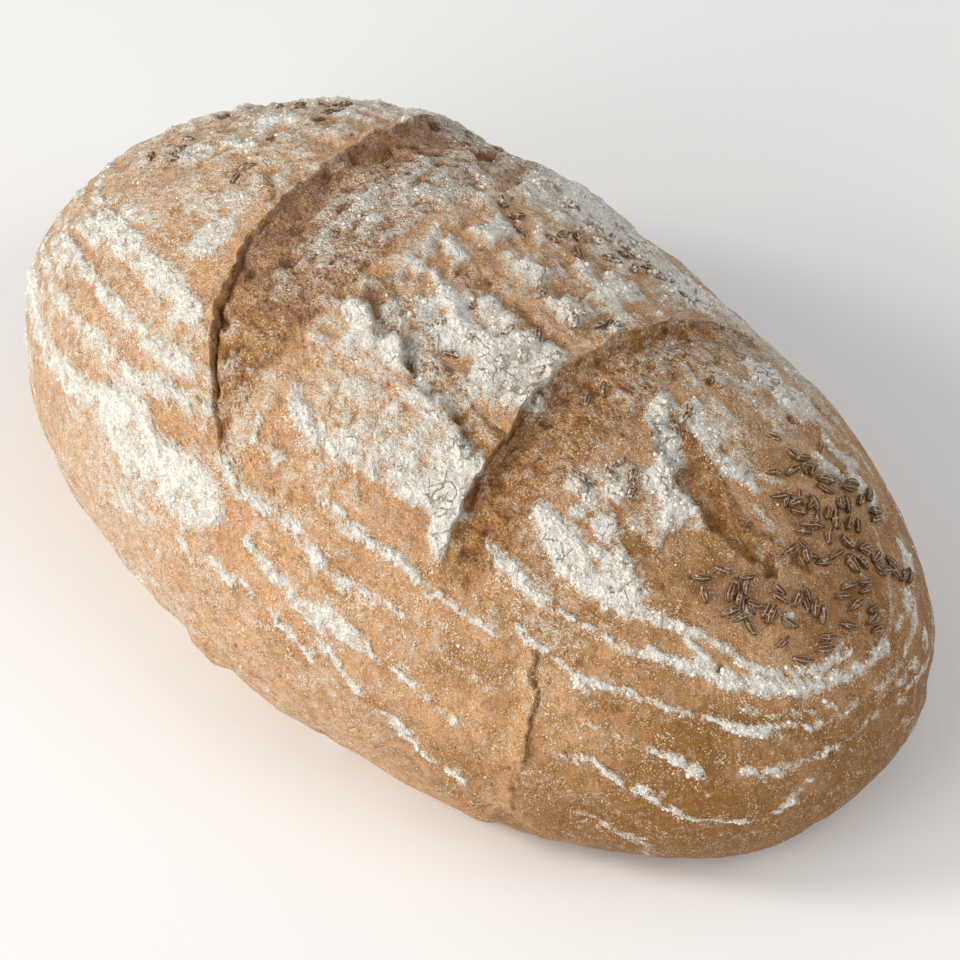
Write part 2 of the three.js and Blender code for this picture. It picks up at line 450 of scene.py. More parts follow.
def open_tear(tear):
    """Relief, rawness and depth of one shallow tear. Its raised side is on the right of its line."""
    side, travelled, length = along_line(form, tear["line"])
    side = side + 1.8 * noise(form, 12, 30) + 1.1 * rough(form, 6, 31) + 0.6 * rough(form, 2.2, 34, 2)
    lasts = np.clip(travelled / 8, 0, 1) * np.clip((length - travelled) / 8, 0, 1)
    lasts = np.sqrt(lasts) * on_top
    lift = tear["lift"] * np.clip(1 + 0.9 * rough(form, 6, 36), 0.1, 2)
    raised = lift * np.exp(np.minimum(0, side) / 4.0) * (side <= 0)
    inside = np.clip(1 - side / tear["width"], 0, 1)
    fallen = tear["depth"] * ramp(0, 0.9, side) * inside**1.4
    edge = lift * (1 - ramp(0, 0.9, side)) * (side > 0)
    raw = tear["raw"] * ramp(0, 0.6, side) * ramp(0, 0.25, inside)
    deep = np.exp(-(((side - 0.8) / 0.8) ** 2)) * lasts
    return (raised + edge - fallen) * lasts, raw * np.minimum(1, 2 * lasts), deep


for tear in TEARS:
    change, raw, deep = open_tear(tear)
    relief += change * (1 - 0.75 * torn)
    torn = np.maximum(torn, raw)
    # Painted shade along the open side of each tear.
    painted_hollow_shade = np.maximum(painted_hollow_shade, 0.45 * deep * np.clip(0.7 + 0.9 * noise(form, 5, 37), 0, 1))

stretched = form * np.array([1.0, 0.22, 0.22])
relief += torn * (0.42 * rough(stretched, 3.2, 41) + 0.3 * rough(form, 5, 44) + 0.22 * noise(form, 1.7, 47))
relief += 0.7 * painted_hollow_shade * rough(form, 1.9, 48, 2)

# Bubbles that stayed open: where each one is, how wide, and how deep.
BUBBLES = [
    (-40, -24, 2.6, 2.8), (-47, -15, 2.0, 2.0), (-43, -17, 1.6, 1.2), (-43, -1, 2.0, 1.6),
    (-38, 30, 2.2, 2.4), (-37, 46, 4.2, 3.0), (-52, 24, 1.5, 1.8), (-48, 20, 1.3, 1.4), (-55, 45, 1.6, 1.8),
    (-50, 50, 1.8, 1.8), (-46, -33, 1.5, 1.6), (-41, -47, 1.5, 1.6), (-54, 3, 1.5, 1.6),
    (-54, 13, 1.2, 1.3), (-50, 33, 1.7, 1.8), (46, -36, 2.4, 1.8), (50, -52, 2.0, 1.6), (43, -15, 1.6, 1.3),
    (-35, -53, 1.4, 1.2), (-44, 35, 1.5, 1.0), (103, -3, 1.3, 1.4), (108, -2, 1.5, 1.4), (96, 3, 1.0, 1.0),
    (98, -5, 1.1, 1.0), (50, -46, 1.3, 0.9), (41, 31, 1.2, 1.0), (43, 36, 1.8, 1.2), (78, 39, 1.4, 1.2),
    (60, 27, 1.2, 0.9), (-107, 16, 2.0, 1.2), (-75, 21, 1.8, 1.0), (-79, 7, 1.4, 0.8), (-96, 31, 1.6, 1.0),
]
SMALL_BUBBLES = 90


def random_bubbles():
    draw = np.random.default_rng(53)
    spots = []
    while len(spots) < SMALL_BUBBLES:
        row, column = draw.integers(0, form.shape[0]), draw.integers(0, TOP_TURNS)
        if draw.uniform() < 0.12 + 0.88 * torn[row, column]:
            spots.append((*form[row, column], draw.uniform(0.5, 1.1), draw.uniform(0.5, 1.0)))
    return spots


def press_bubble(x, y, z, radius, depth):
    away = np.linalg.norm((form - (x, y, z)) * (1, 0.8, 1), axis=-1) / radius
    away = away * (1 + 0.25 * noise(form, 1.6, 57))
    pit = np.clip(1 - away**2, 0, 1) ** 0.7
    return pit * depth, pit


# Both kinds of bubble are pressed in, with painted shade marked inside each pit.
for x, y, radius, depth in BUBBLES:
    z = float(top_height(np.array(float(x)), np.array(float(y))))
    pressed, pit = press_bubble(x, y, z, radius, depth)
    relief -= pressed
    painted_hollow_shade = np.maximum(painted_hollow_shade, 0.9 * pit)
    torn = np.maximum(torn, ramp(0.05, 0.4, pit))
for spot in random_bubbles():
    pressed, pit = press_bubble(*spot)
    relief -= pressed
    painted_hollow_shade = np.maximum(painted_hollow_shade, 0.8 * pit)
print(len(BUBBLES) + SMALL_BUBBLES, "bubbles")

# %% [markdown]
# ## Side crack and skin
# On the front, low on the seeded half, the skin split from top to bottom and its left edge lifted. The
# rest of the skin is gently lumpy, with a finer crinkle all over.

# %% Side crack and skin
def side_crack():
    line = np.interp(Z, [21, 36, 46, 60, 71], [82, 85, 86, 83.3, 77.8])
    side = X - line - 0.9 * rough(form, 5, 61) - 0.5 * rough(form, 1.5, 63, 2)
    lasts = ramp(39, 45, Z) * ramp(72, 67, Z) * (Y < 0)
    lasts = np.maximum(lasts, 0.35 * ramp(18, 24, Z) * ramp(42, 36, Z) * (Y < 0))
    lasts = lasts * (1 + 0.3 * noise(form, 4, 64))
    lifted = 0.9 * ramp(-5, -0.3, side) * (side <= 0)
    fallen = 0.6 * ramp(0, 0.4, side) * np.clip(1 - side / 2.5, 0, 1)
    edge = 0.9 * (1 - ramp(0, 0.4, side)) * (side > 0)
    deep = 1.05 * np.exp(-(((side - 0.3) / 0.28) ** 2)) * lasts
    reach = 4.5 + 1.5 * rough(form, 6, 65)
    flap = ramp(-reach - 1.5, -reach + 1.5, side) * (side <= 0.2) * lasts
    return (lifted + edge - fallen) * lasts, deep, flap


change, deep, flap = side_crack()
relief += change
# Painted shade along the side crack.
painted_hollow_shade = np.maximum(painted_hollow_shade, deep)

flat_base = ramp(1.5, 6, Z)
relief += (0.8 * rough(form, 26, 71) + 0.45 * rough(form, 9, 75)) * flat_base
smooth_side = np.maximum(ramp(-42, -62, X) * ramp(0, -24, Y), 0.8 * ramp(25, 55, Y))
rugged = (0.35 + 0.65 * ramp(66, 20, X) * ramp(0.1, 0.5, upward)) * flat_base * (1 - 0.75 * smooth_side)
bumps = rough(form, 4.2, 78, 2)
wrinkles = (1 - np.abs(rough(form * (1, 1.4, 1.4), 8, 79))) ** 5
relief += rugged * (0.7 * bumps - 0.9 * wrinkles * ramp(0.2, 0.9, upward))

# Where the top was floured most, its dry skin broke into low chips with brown dough between them. Each
# place: middle, reach along and across, and how strongly it is chipped.
CHIPPED = [
    (10, 8, 30, 44, 1.0), (70, -6, 24, 34, 0.8), (70, 40, 34, 18, 0.6), (-75, 24, 30, 36, 0.45),
    (0, 58, 60, 16, 0.6),
]
chipped = np.zeros(X.shape)
for x, y, reach_x, reach_y, share in CHIPPED:
    chipped = np.maximum(chipped, share * ramp(1.15, 0.7, np.hypot((X - x) / reach_x, (Y - y) / reach_y)))
chipped *= (1 - 0.8 * torn) * ramp(0.1, 0.5, upward)
chips = ramp(-0.06, 0.10, rough(form * (0.8, 1.15, 1), 6.5, 201))
relief += 0.85 * chipped * (chips - 0.5)

# Folds low on the front, where the skin rolled under: middle, reach and height.
FOLDS = [
    (-17, -82, 22, 9, 2.2), (-12, -80, 16, 6, 1.5), (70, -70, 19, 8, 2.6), (76, -70, 15, 6, 1.6),
    (120, -42, 26, 7, 1.2),
]
for x, y, z, reach, bulge in FOLDS:
    away = np.linalg.norm(form - (x, y, z), axis=-1) / reach
    relief += bulge * np.exp(-((away * 1.4) ** 2)) * (1 + 0.4 * noise(form, 5, 66))
print("relief, mm:", round(float(relief.min()), 1), "to", round(float(relief.max()), 1))

# %% [markdown]
# ## Flour
# The basket's cane pressed a ring of flour into the dough at each of its turns. On top, more flour was
# dusted by hand and baked on in patches. The rings are worked out from the loaf's outline, and the
# patches are listed: where each is, its two half-lengths, how far it is turned, and how thick it is.

# %% Rings
CANE_PITCH = 12.5
FIRST_RING = 6.0
RING_POWER = 2.5
SHORTER = 0.31  # the share of its length that the innermost ring lacks
HALVINGS = 24


def ring_distance():
    """How far from the crown each point is, in the way that the basket's rings are spaced."""
    inner, outer = np.zeros(X.shape), np.full(X.shape, WIDTH / 2 + 0.5)
    for _ in range(HALVINGS):
        half = (inner + outer) / 2
        longest = LENGTH / 2 * (1 - SHORTER * np.clip(1 - 2 * half / WIDTH, 0, 1) ** 1.55)
        outside = (np.abs(X) / longest) ** RING_POWER + (np.abs(Y) / half) ** RING_POWER > 1
        inner, outer = np.where(outside, half, inner), np.where(outside, outer, half)
    samples = np.linspace(0, WIDTH / 2, 400)
    heights = GIRTH + (CROWN - GIRTH) * arch(2 * samples / WIDTH, CROWN_POWER, 0.5)
    steps = np.hypot(np.diff(samples), np.diff(heights))
    travelled = np.concatenate([[0], np.cumsum(steps)])
    return np.interp(half, samples, travelled) + np.where(upward < 0, GIRTH - Z, 0)


from_crown = ring_distance()
around = np.degrees(np.arctan2(Y / WIDTH, X / LENGTH))
around = np.where(around > 100, around - 360, around)
rings = from_crown + 2.2 * rough(form, 30, 81) + 4.5 * ramp(-35, -75, X)
place_in_ring = np.abs((rings - FIRST_RING + CANE_PITCH / 2) % CANE_PITCH - CANE_PITCH / 2)
ring_width = 1.2 + 2.0 * ramp(-20, -70, X) + 0.5 * noise(form, 16, 83)
ring_flour = ramp(ring_width + 1.6, ring_width - 0.9, place_in_ring)
ring_strength = 0.50 + 0.30 * ramp(-15, -70, X) + 0.30 * noise(form, 22, 84) + 0.15 * noise(form, 7, 85)
ring_strength *= ramp(34, 50, rings) * ramp(6, 26, Z)
ring_strength *= 1 - 0.6 * ramp(20, -20, Y) * ramp(-150, -135, around)
for tip in (-LENGTH / 2, LENGTH / 2):
    ring_strength *= ramp(6, 22, np.linalg.norm(form - (tip, 0, GIRTH), axis=-1))
ring_flour *= np.clip(ring_strength, 0, 1)
print("rings:", CANE_PITCH, "mm apart")

# %% Streaks
# Flour that stuck along the rings on the sides that were dusted most. Each streak is a bent line: points
# (degrees around the loaf, mm from the crown), half its width, and how thick it is. The seeded end is at
# 0 degrees and the front at -90.
STREAKS = [
    ([(-97, 53), (-94, 57), (-86, 57.5), (-76, 55), (-70, 54), (-65, 51)], 2.3, 1.0),
    ([(-84, 53.5), (-76, 52), (-68, 52)], 2.4, 0.85), ([(-99, 64), (-97.5, 69)], 1.3, 0.9),
    ([(-84.5, 70.5), (-79, 72)], 1.6, 0.95), ([(-82, 69), (-74, 70.5), (-71, 69), (-66, 71)], 1.2, 0.95),
    ([(-66, 70), (-62, 69.5), (-57, 70.5)], 0.9, 0.85), ([(-98, 79.5), (-95, 82)], 3.0, 1.0),
    ([(-95, 82.5), (-90, 82)], 1.5, 0.9), ([(-90, 81.5), (-85.5, 81)], 2.0, 1.0),
    ([(-85.5, 83), (-82, 86)], 1.9, 0.9), ([(-84, 83), (-79, 84.5), (-73.5, 82.5)], 2.0, 1.0),
    ([(-73.5, 82), (-69.5, 80.5)], 1.1, 0.9), ([(-91, 93.5), (-85.5, 96)], 2.0, 1.0),
    ([(-86, 96.5), (-80, 98)], 2.7, 1.05), ([(-80, 96), (-74, 94.5)], 2.7, 1.0),
    ([(-74, 95.5), (-70, 94.5), (-66, 95.2), (-62, 95.5)], 0.9, 0.95),
    ([(-100, 104), (-98, 108)], 1.4, 0.85), ([(-95.5, 105.5), (-92, 106.5)], 1.8, 0.8),
    ([(-90.5, 105), (-86, 107)], 1.3, 0.85), ([(-84.5, 108.5), (-80.5, 110.5)], 1.8, 1.0),
    ([(-78.5, 104.5), (-74, 107)], 1.7, 0.95), ([(-71, 106.5), (-66, 105.5), (-61, 105)], 0.9, 0.9),
    ([(-118, 81), (-110, 88), (-99, 91)], 6.5, 1.12), ([(-108, 96), (-98, 97)], 2.5, 0.8),
    ([(-116, 65), (-109, 64)], 2.2, 0.8), ([(-117, 72.5), (-106, 72)], 2.3, 0.9),
    ([(-168, 43), (-160, 43.5), (-150, 45.5)], 1.9, 1.0),
    ([(-151, 45), (-140, 48), (-130, 50), (-121, 53)], 3.6, 1.05), ([(-164, 55), (-150, 58)], 1.5, 0.9),
    ([(-150, 58), (-140, 60), (-130, 62.5), (-120, 64), (-114, 64.5)], 2.0, 1.05),
    ([(-158, 67), (-145, 70), (-135, 71), (-125, 73), (-108, 74)], 2.0, 0.92),
    ([(-160, 77), (-145, 79), (-135, 82), (-125, 84), (-117, 84)], 3.0, 1.05),
    ([(-125, 88), (-118, 90)], 2.5, 0.6), ([(-140, 95), (-128, 99), (-120, 103)], 1.5, 0.6),
    ([(-112, 100), (-104, 103)], 1.6, 0.7), ([(-56.5, 51.5), (-51, 54.5)], 2.6, 1.0),
    ([(-50, 55.5), (-47.5, 56)], 1.5, 0.85), ([(-46, 56), (-38, 56), (-32, 53.5)], 1.1, 0.95),
    ([(-33, 53.5), (-25.5, 53)], 1.9, 1.0), ([(-26, 46.5), (-24.5, 49)], 2.0, 1.05),
    ([(-26, 52), (-15, 51.5), (-7, 51)], 2.6, 1.05),
    ([(-8, 52.5), (-3, 53.5), (3, 56.5), (10, 58)], 2.0, 0.95), ([(14, 60.5), (22, 63)], 1.2, 0.75),
    ([(-41, 43), (-36, 45.5)], 3.0, 1.0), ([(-34, 45.5), (-27, 43), (-20, 43.5)], 1.6, 0.9),
    ([(-20, 44.5), (-14, 46), (-6, 46.5), (2, 49)], 1.6, 0.9), ([(-30, 65), (-25.5, 64.5)], 0.9, 0.85),
    ([(-25.5, 65.5), (-20, 66)], 1.9, 1.0), ([(-20, 64.5), (-13.5, 64)], 1.0, 0.9),
    ([(-12.5, 66.5), (-9, 67.5)], 1.2, 0.8), ([(-22, 60), (-12, 60), (-4, 62)], 1.2, 0.55),
    ([(-53, 66), (-45, 70)], 1.4, 0.85), ([(-45, 68), (-37, 66.5)], 0.9, 0.8),
    ([(-37, 66.5), (-30, 65)], 0.7, 0.65), ([(3, 72), (10, 75), (22, 76)], 1.4, 0.7),
    ([(-46, 79), (-38, 78)], 0.7, 0.65), ([(-38, 77.5), (-36.5, 77.5)], 1.0, 1.0),
    ([(-35, 78), (-33.5, 78)], 1.3, 1.05), ([(-32, 79), (-31, 79)], 1.5, 1.0),
    ([(-25, 77.5), (-18, 77), (-13, 78), (-9, 80)], 1.2, 0.85), ([(-9, 80), (0, 79), (10, 84)], 0.9, 0.6),
    ([(-51, 89), (-45.5, 87)], 0.5, 0.8), ([(-45.5, 86.5), (-40, 87)], 0.6, 0.95),
    ([(-40, 86.8), (-30, 86.5), (-22, 87)], 0.4, 0.85), ([(-27, 86.5), (-25, 86.5)], 0.7, 0.95),
    ([(-22, 86.5), (-14, 86)], 0.5, 0.85), ([(-14, 86), (-4, 88)], 0.35, 0.7),
    ([(-47, 97), (-36, 97)], 1.0, 0.5),
]
MM_EACH_DEGREE = 2.0


def streak_flour():
    total = np.zeros(X.shape)
    wobble = 0.24 * rough(form, 4.4, 191)
    beside = from_crown + 0.7 * rough(form, 5.5, 192) + 0.6 * noise(form, 1.8, 195)
    crumbled = ramp(-0.1, 0.35, rough(form, 2.4, 197, 2))
    for points, half, thickness in STREAKS:
        degrees, distances = np.array(points, float).T
        past = np.maximum(0, np.maximum(degrees[0] - around, around - degrees[-1])) * MM_EACH_DEGREE
        away = np.hypot(beside - np.interp(around, degrees, distances), past) / half + wobble
        broken = 0.62 if half < 1.5 else 0.34
        thickness = thickness * (1 - broken * crumbled - 0.12 * ramp(-105, -120, around))
        lying = np.maximum(1.06 * ramp(1.35, 0.75, away), 0.5 * ramp(2.1, 0.9, away))
        total = np.maximum(total, thickness * lying)
    return total


# %% Patches
PATCHES = [
    (-66, -10, 7, 14, 10, 0.6), (-63, -29, 6, 8, 0, 0.75), (-72, 2, 8, 8, 0, 0.55),
    (-75, -22, 8, 5, -20, 0.6), (16, 30, 18, 9, 0, 0.62), (-12, 44, 12, 8, 0, 0.8),
    (-13, -27, 5, 3, -20, 1), (2, -30, 10, 2.5, -8, 0.9), (16, -32, 9, 2.4, -14, 0.9),
    (34, -37, 8, 5, 5, 1), (36, -45, 9, 5.5, -20, 1), (41, -51, 5.5, 3.5, -45, 1), (30, -48, 12, 4, 0, 0.9),
    (20, -45, 8, 3.5, 0, 0.8), (-14, 6, 6, 3, -15, 0.9), (-4, -4, 6, 5, 0, 0.75),
    (12, -10, 20, 10, 0, 1.05), (27, -10, 13, 11, 0, 1.1), (30, -1, 9, 2.6, 0, 0.9),
    (13, -2, 10, 3, 0, 0.8), (-12, -16, 7, 4, 0, 0.55), (40, -25, 2, 1.2, -30, 1), (58, 8, 6, 5, -25, 0.95),
    (67, 13, 4, 2.5, 0, 0.8), (74, 13, 4, 2, 0, 0.75), (85, 12, 4.5, 3, 0, 0.9), (68, 3, 6, 4, -40, 1.05),
    (73, -5, 4, 5, 20, 1.05), (80, -7.5, 7, 5, -25, 1.15), (83, -12, 4, 3, 10, 1), (69, -17, 3, 2, 0, 0.8),
    (61, -22.5, 4.5, 2.2, -10, 0.9), (74, -26, 4, 3, -10, 0.8), (66, -28, 3, 1.6, 0, 0.9),
    (60, -33, 5, 3, 0, 0.95), (67, -35, 7, 3.5, 0, 0.95), (82, -31, 9, 2, 5, 0.85),
    (85, -35, 6, 3.5, 10, 0.95), (76, -38.5, 13, 2, -2, 0.95), (62, 46, 17, 7, 2, 1),
    (48, 38, 4, 3, 20, 0.8), (77, 49, 7, 4, 0, 0.7), (89, 45, 8, 2.2, 0, 0.85), (100, 43, 6, 3, -5, 0.85),
    (93, 36, 5, 2, 0, 0.6), (88, 18, 4, 2, 30, 0.5), (118, 40, 5, 1.5, -35, 0.8),
    (127, 31, 4, 1.3, -55, 0.75), (111, -16, 1.8, 2.4, 0, 0.9), (117.5, -7.5, 1.3, 1.3, 0, 1.1),
    (104, 2, 4, 4, 0, 0.45), (97, 8, 5, 2, 0, 0.55), (2, 55, 36, 10, -3, 0.95), (-14, 31, 8, 12, 0, 0.62),
    (5, 15.5, 10, 4, 0, 0.85), (28, 13, 8, 4, 0, 0.75), (35, 19, 5, 3, 0, 0.6), (12, 41, 8, 4, 0, 0.8),
    (22, 30, 16, 8, 0, 0.42), (2, 24, 8, 5, 0, 0.5), (32, 42, 6, 3, 0, 0.6), (-35, 42, 12, 8, 0, 0.35),
    (-34, 5, 10, 18, 0, 0.42), (-95, -6, 5, 5, 0, 0.95), (-84, 2, 5, 3, 0, 0.9), (-86, 13, 3, 7, 20, 0.8),
    (-68, 33, 13, 8, 20, 0.7), (-85, 38, 16, 8, 25, 0.6), (-104, 24, 10, 8, 30, 0.5),
    (-56, -12, 4, 5, 30, 0.5), (-62, 10, 6, 10, 0, 0.4),
]


def patch_flour():
    """The thickest patch at each point. Noise pushes each outline in and out."""
    total = np.zeros(X.shape)
    wobble = 0.26 * rough(form, 4.4, 91)
    pushed_x = X + 1.2 * rough(form, 5.5, 92) + 0.7 * noise(form, 1.8, 95)
    pushed_y = Y + 1.2 * rough(form, 5.5, 96) + 0.7 * noise(form, 1.8, 98)
    for x, y, long_half, short_half, turn, thickness in PATCHES:
        c, s = math.cos(math.radians(turn)), math.sin(math.radians(turn))
        dx, dy = pushed_x - x, pushed_y - y
        away = np.hypot((dx * c + dy * s) / long_half, (dy * c - dx * s) / short_half) + wobble
        lying = np.maximum(1.06 * ramp(1.3, 0.75, away), 0.52 * ramp(2.0, 0.9, away))
        total = np.maximum(total, thickness * lying)
    return total * ramp(-0.05, 0.2, upward)


print(len(STREAKS), "streaks and", len(PATCHES), "patches")

# %% Light dust
EVEN_DUST = 0.14
LEAST_DUST = 0.12
# Broad dustings under the patches: middle, two half-lengths and share of the crust covered.
DUSTINGS = [
    (-95, 24, 54, 58, 0.58), (-95, -30, 50, 40, 0.35), (52, 22, 13, 40, 0.46), (0, 66, 95, 20, 0.78),
    (66, 54, 34, 14, 0.55), (8, -5, 38, 62, 0.66), (-34, 12, 15, 52, 0.72), (70, -8, 24, 52, 0.40),
    (48, -20, 12, 30, 0.2), (-45, -68, 55, 26, 0.46), (15, -74, 42, 18, 0.30), (-2, -22, 13, 13, 0.85),
    (66, 17, 10, 9, 0.56), (45, 34, 26, 16, 0.46), (-108, 45, 40, 30, 0.72), (-68, 60, 26, 22, 0.85),
]


def light_dust():
    total = np.full(X.shape, EVEN_DUST)
    for x, y, long_half, short_half, share in DUSTINGS:
        away = np.hypot((X - x) / long_half, (Y - y) / short_half) + 0.12 * rough(form, 24, 101)
        total = np.maximum(total, EVEN_DUST + (share - EVEN_DUST) * ramp(1.25, 0.55, away))
    total += 0.10 * rough(form, 12, 97) + 0.06 * noise(form, 3.5, 94)
    total -= 0.40 * ramp(84, 58, Z) * ramp(20, 45, Y)
    return np.maximum(LEAST_DUST, total - 0.08 * ramp(20, 6, Z) - 0.11 * ramp(76, 120, X))


# %% All the flour
dust = light_dust() * (1 - (0.1 + 0.5 * ramp(60, 75, X)) * torn)
flour = np.maximum(patch_flour(), ring_flour * (1 + 0.7 * noise(form, 3.4, 86)))
flour = np.maximum(flour, streak_flour())
flour *= 1 - 0.75 * ramp(0.35, 0.8, torn) * ramp(12, 5, np.abs(X - 49)) * ramp(-40, -30, Y)
flour *= 1 - 0.35 * torn * (flour < 0.85)
flour = np.maximum(flour, dust) + 0.3 * dust * np.clip(flour - dust, 0, 0.5)
flour += rugged * (0.22 * bumps - 0.45 * wrinkles) * ramp(0.1, 0.4, flour)
flour += chipped * (0.52 * chips - 0.30) * ramp(0.15, 0.4, flour)
flour = np.clip(flour - 0.85 * painted_hollow_shade, 0, 1.1)
thick = ramp(0.55, 0.95, flour + 0.2 * rough(form, 2.6, 99)) + ramp(0.95, 1.1, flour)
relief += thick * (0.3 + 0.22 * rough(form, 1.9, 103)) * flat_base * (1 - 0.6 * ramp(40, 60, Y))
print("floured:", round(100 * float((flour > 0.5).mean()), 1), "% of the points")

# %% How baked, ruddy and dried the crust is, with painted shade and light on the seeded end
# Browner towards the seeded end. The terms in Z add painted shade low down towards the seeded end and painted
# light near the top of that end.
browning_and_shade = ramp(0, 112, X) * 0.48 + 0.05 * ramp(55, 15, Z) * ramp(0, 80, X)
browning_and_shade += 0.6 * ramp(72, 30, Z) * ramp(70, 120, X)
browning_and_shade += 0.22 * rough(form, 24, 105) + 0.10 * rough(form, 6, 108) - 0.2 * ramp(62, 85, Z) * ramp(80, 110, X)
ruddy = ramp(15, -25, X + 8 * noise(form, 20, 109)) * ramp(-52, -22, Y)
dried = ramp(0.8, 1.0, flour) * ramp(-30, -5, X) * ramp(68, 82, Z)
print("browning:", round(float(browning_and_shade.min()), 2), "to", round(float(browning_and_shade.max()), 2))

# %% [markdown]
# ## Seeds in the crust
# Each caraway seed has a small solid of its own in the frame. Its middle and its long direction come from
# that solid's points. The skin of the dough clung to the seeds, so the crust is drawn up around each one.

# %% Places of the seeds
CLINGING = 2.2  # mm each way from a seed's middle, along it


def seed_places():
    """Middle and long axis of each seed's solid, in mm."""
    found = []
    for name in sorted(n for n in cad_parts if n.startswith("caraway_seed")):
        points = np.array([v.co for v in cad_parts[name].data.vertices]) / MM
        middle = (points.min(0) + points.max(0)) / 2
        spread = np.linalg.svd(points - points.mean(0), full_matrices=False)[2]
        found.append((middle, spread[0]))
    return found


def nearest_normal(point):
    gap = np.linalg.norm(form - point, axis=-1)
    spot = np.unravel_index(np.argmin(gap), gap.shape)
    return normal[spot]


seeds = [(middle, axis, nearest_normal(middle)) for middle, axis in seed_places()]
for middle, axis, _ in seeds:
    gap = form - middle
    along_seed = np.clip(gap @ axis, -CLINGING, CLINGING)
    away = np.linalg.norm(gap - along_seed[..., None] * axis, axis=-1)
    near = np.exp(-(((away - 1.0) / 1.1) ** 2)) * (away < 4)
    relief += 0.10 * near
    flour -= 0.5 * np.exp(-((away / 1.3) ** 2))
flour = np.clip(flour, 0, 1.15)
print(len(seeds), "seeds in the frame")

# %% [markdown]
# ## The crust mesh
# The relief moves each point straight out of the form, and the cuts move it along the loaf too. Points on
# the base stay level with what the loaf rests on. The two ends are closed with a fan of triangles.

# %% Crust mesh
surface = form + normal * relief[..., None] + along * shift[..., None]
surface[..., 2] = np.where(form[..., 2] <= 0, 0, np.maximum(surface[..., 2], 0))
# One of these values marks painted shade in the cracks, tears and bubbles.
CRUST_VALUES = {"flour": flour, "torn": torn, "painted_hollow_shade": painted_hollow_shade, "flap": flap, "browning_and_shade": browning_and_shade, "ruddy": ruddy,
                "dried": dried}


def make_crust():
    rows, columns = surface.shape[:2]
    inner = surface[1:-1].reshape(-1, 3)
    points = np.concatenate([inner, surface[0].mean(0)[None], surface[-1].mean(0)[None]]) * MM
    row = np.arange(rows - 3)[:, None] * columns
    column = np.arange(columns)[None]
    following = (column + 1) % columns
    quads = np.stack([row + column, row + following, row + columns + following, row + columns + column], -1)
    first, last = len(inner), len(inner) + 1
    end = (rows - 3) * columns
    fans = [(first, (c + 1) % columns, c) for c in range(columns)]
    fans += [(last, end + c, end + (c + 1) % columns) for c in range(columns)]
    mesh = bpy.data.meshes.new("crust")
    mesh.from_pydata(points.tolist(), [], quads.reshape(-1, 4).tolist() + fans)
    mesh.polygons.foreach_set("use_smooth", [True] * len(mesh.polygons))
    for name, values in CRUST_VALUES.items():
        attribute = mesh.attributes.new(name, "FLOAT", "POINT")
        ends = [values[0].mean(), values[-1].mean()]
        attribute.data.foreach_set("value", np.concatenate([values[1:-1].ravel(), ends]).astype(np.float32))
    crust = bpy.data.objects.new("crust", mesh)
    bpy.context.scene.collection.objects.link(crust)
    return crust


crust = make_crust()
triangles = sum(len(p.vertices) - 2 for p in crust.data.polygons)
print("crust:", triangles, "triangles")

# %% [markdown]
# ## Crust material
# Baked crust: starch and sugars browned by heat, dull and slightly rough. Its colour runs from straw
# through gold to brown over a few millimetres, with finer mottling and a dusting of flour grains. Raw
# crust in the cuts is redder. Flour is a dry powder that scatters light, so it is white and nearly fully
# rough. A painted picture would blur close up, so noise of real sizes makes all of it, and the values kept
# on the crust's points say where each finish lies.

# %% Recipes for a finish
# A recipe is a list of steps, each with a name for its result. A step says what is done and to what: an
# earlier result, a number, a colour or another step. Each kind of step has its node, its fixed settings,
# its inputs in order, and its output. Any other word is an operation of the Math node.
RANGE_INPUTS = ("Value", "From Min", "From Max")
STEP_NODES = {
    "FADE": ("ShaderNodeMapRange", {"interpolation_type": "SMOOTHSTEP"}, RANGE_INPUTS, "Result"),
    "SPREAD": ("ShaderNodeMapRange", {}, RANGE_INPUTS, "Result"),
    "MIX": ("ShaderNodeMix", {"data_type": "RGBA"}, ("Factor", 6, 7), 2),
}


def follow(tree, step, made):
    """Adds a step's node, after the nodes of the steps inside it, and gives its output."""
    word, *parts = step
    kind, settings, sockets, output = STEP_NODES.get(
        word, ("ShaderNodeMath", {"operation": word}, (0, 1, 2), "Value"))
    values, links = dict(settings), {}
    for socket, part in zip(sockets, parts):
        if isinstance(part, tuple):
            links[socket] = follow(tree, part, made)
        elif part in made:
            links[socket] = made[part]
        else:
            values[socket] = linear(part) if isinstance(part, str) else part
    return add_node(tree, kind, values, links).outputs[output]


def follow_all(tree, recipe, made):
    for name, step in recipe:
        made[name] = follow(tree, step, made)
    return made


print("recipe steps besides Math:", ", ".join(STEP_NODES))

